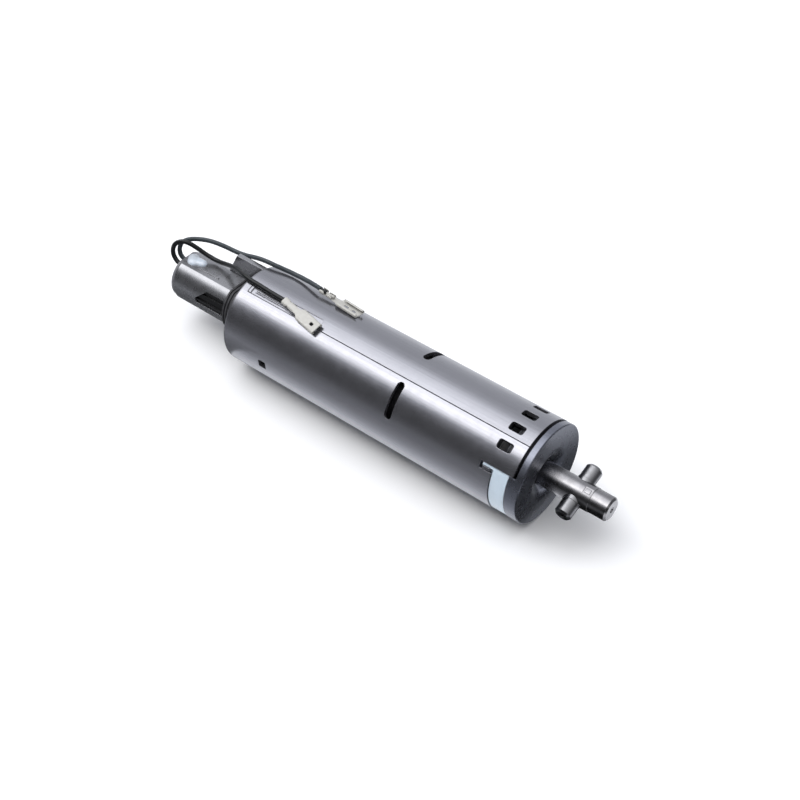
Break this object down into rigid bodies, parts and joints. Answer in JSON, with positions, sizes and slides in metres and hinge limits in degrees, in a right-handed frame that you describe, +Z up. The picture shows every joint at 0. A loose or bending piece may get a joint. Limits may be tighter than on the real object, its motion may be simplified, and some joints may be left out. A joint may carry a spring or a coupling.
{
  "type": "tubular roller shutter motor",
  "caption": "Tubular roller shutter gearmotor in a split round housing, with a cross-pinned output shaft at one end and a keyed neck with two crimped leads at the other.",
  "frame": {"origin": "centre of the cross pin, on the drive axis", "axes": "+X along the drive axis, out of the shaft's free end; +Z up, square to the flat of the rear neck; +Y completes a right-handed frame"},
  "size_m": [0.2093, 0.04, 0.0417],
  "materials": {
    "housing_paint": "glossy graphite metallic",
    "cap_metal": "glossy graphite metallic",
    "black_rubber": "matt",
    "glue": "soft translucent white",
    "clip_plastic": "semi-gloss white",
    "bearing_steel": "polished",
    "shaft_steel": "turned, bright",
    "carrier_steel": "ground",
    "brass": "turned",
    "gear_plastic": "moulded acetal",
    "black_plastic": "moulded",
    "screw_steel": "zinc plated",
    "can_steel": "zinc plated, drawn",
    "ferrite": "sintered",
    "core_steel": "stacked sheet",
    "enamelled_wire": "enamelled copper",
    "copper": "turned copper",
    "carbon": "pressed carbon",
    "capacitor": "dipped",
    "lead_jacket": "soft vinyl",
    "tinned_brass": "tin plated"
  },
  "bodies": {
    "housing": {"shell_lower": "housing_paint", "shell_upper": "housing_paint", "rear_neck": "housing_paint", "neck_collar": "black_rubber", "tail_grommet": "black_rubber", "adhesive_blob": "glue", "front_cap": "cap_metal", "locking_clip": "clip_plastic", "front_bearing_outer": "bearing_steel", "ring_gear": "gear_plastic", "gearbox_adapter": "black_plastic", "adapter_screws": "screw_steel", "motor_can": "can_steel", "front_bush": "brass", "magnets": "ferrite", "end_bell": "black_plastic", "rear_bush": "brass", "brushes": "carbon", "brush_springs": "screw_steel", "motor_tabs": "brass", "suppressor_capacitor": "capacitor", "inner_leads": "lead_jacket", "lead_1": "lead_jacket", "lead_2": "lead_jacket", "receptacle_1": "tinned_brass", "receptacle_2": "tinned_brass"},
    "bearing_balls": {"front_bearing_balls": "bearing_steel"},
    "output": {"output_shaft": "shaft_steel", "cross_pin": "shaft_steel", "shaft_circlip": "shaft_steel", "shaft_spacer": "brass", "front_bearing_inner": "bearing_steel", "output_carrier": "carrier_steel"},
    "stage": {"input_carrier": "carrier_steel"},
    "rotor": {"armature_shaft": "shaft_steel", "lamination_stack": "core_steel", "windings": "enamelled_wire", "commutator": "copper", "motor_pinion": "brass"},
    "planet_out_a": {"planet_out_a": "gear_plastic"},
    "planet_out_b": {"planet_out_b": "gear_plastic"},
    "planet_out_c": {"planet_out_c": "gear_plastic"},
    "planet_in_a": {"planet_in_a": "gear_plastic"},
    "planet_in_b": {"planet_in_b": "gear_plastic"},
    "planet_in_c": {"planet_in_c": "gear_plastic"}
  },
  "joints": [
    {"name": "rotor_spin", "type": "hinge", "parent": "housing", "child": "rotor", "pos_m": [-0.1, 0, 0], "axis": [1, 0, 0], "continuous": true},
    {"name": "stage_spin", "type": "hinge", "parent": "housing", "child": "stage", "pos_m": [-0.05, 0, 0], "axis": [1, 0, 0], "continuous": true},
    {"name": "output_spin", "type": "hinge", "parent": "housing", "child": "output", "pos_m": [0, 0, 0], "axis": [1, 0, 0], "continuous": true},
    {"name": "balls_roll", "type": "hinge", "parent": "housing", "child": "bearing_balls", "pos_m": [-0.02, 0, 0], "axis": [1, 0, 0], "continuous": true},
    {"name": "planet_in_a_spin", "type": "hinge", "parent": "stage", "child": "planet_in_a", "pos_m": [-0.0588, 0, 0.0099], "axis": [1, 0, 0], "continuous": true},
    {"name": "planet_in_b_spin", "type": "hinge", "parent": "stage", "child": "planet_in_b", "pos_m": [-0.0588, -0.00857, -0.00495], "axis": [1, 0, 0], "continuous": true},
    {"name": "planet_in_c_spin", "type": "hinge", "parent": "stage", "child": "planet_in_c", "pos_m": [-0.0588, 0.00857, -0.00495], "axis": [1, 0, 0], "continuous": true},
    {"name": "planet_out_a_spin", "type": "hinge", "parent": "output", "child": "planet_out_a", "pos_m": [-0.0408, 0, 0.0099], "axis": [1, 0, 0], "continuous": true},
    {"name": "planet_out_b_spin", "type": "hinge", "parent": "output", "child": "planet_out_b", "pos_m": [-0.0408, -0.00857, -0.00495], "axis": [1, 0, 0], "continuous": true},
    {"name": "planet_out_c_spin", "type": "hinge", "parent": "output", "child": "planet_out_c", "pos_m": [-0.0408, 0.00857, -0.00495], "axis": [1, 0, 0], "continuous": true}
  ],
  "couplings": [
    {"joint": "stage_spin", "follows": "rotor_spin", "ratio": 0.2},
    {"joint": "output_spin", "follows": "rotor_spin", "ratio": 0.04},
    {"joint": "balls_roll", "follows": "rotor_spin", "ratio": 0.016226},
    {"joint": "planet_in_a_spin", "follows": "rotor_spin", "ratio": -0.53333},
    {"joint": "planet_in_b_spin", "follows": "rotor_spin", "ratio": -0.53333},
    {"joint": "planet_in_c_spin", "follows": "rotor_spin", "ratio": -0.53333},
    {"joint": "planet_out_a_spin", "follows": "rotor_spin", "ratio": -0.10667},
    {"joint": "planet_out_b_spin", "follows": "rotor_spin", "ratio": -0.10667},
    {"joint": "planet_out_c_spin", "follows": "rotor_spin", "ratio": -0.10667}
  ]
}
